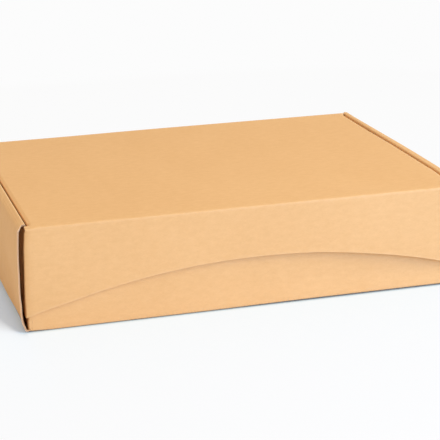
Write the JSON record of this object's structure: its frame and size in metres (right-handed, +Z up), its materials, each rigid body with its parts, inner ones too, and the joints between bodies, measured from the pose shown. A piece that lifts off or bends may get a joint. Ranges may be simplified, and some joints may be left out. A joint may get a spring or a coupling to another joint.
{
  "type": "closed corrugated shipping box",
  "caption": "Closed roll-end shipping box folded from one sheet of corrugated board, with an arched front flap that tucks in by ears at its sides.",
  "frame": {"origin": "centre of the base, on the resting surface, midway between the side folds and between the front and back walls", "axes": "+X along the width, -Y towards the front flap, +Z up"},
  "size_m": [0.4098, 0.2913, 0.0935],
  "materials": {
    "board": "plain brown kraft liner, matt"
  },
  "bodies": {
    "box": {"tray": "board", "lid": "board"},
    "flap": {"front_flap": "board"}
  },
  "joints": [
    {"name": "flap_hinge", "type": "hinge", "parent": "box", "child": "flap", "pos_m": [0, -0.14635, 0.0928], "axis": [-1, 0, 0], "range_deg": [0, 120]}
  ]
}
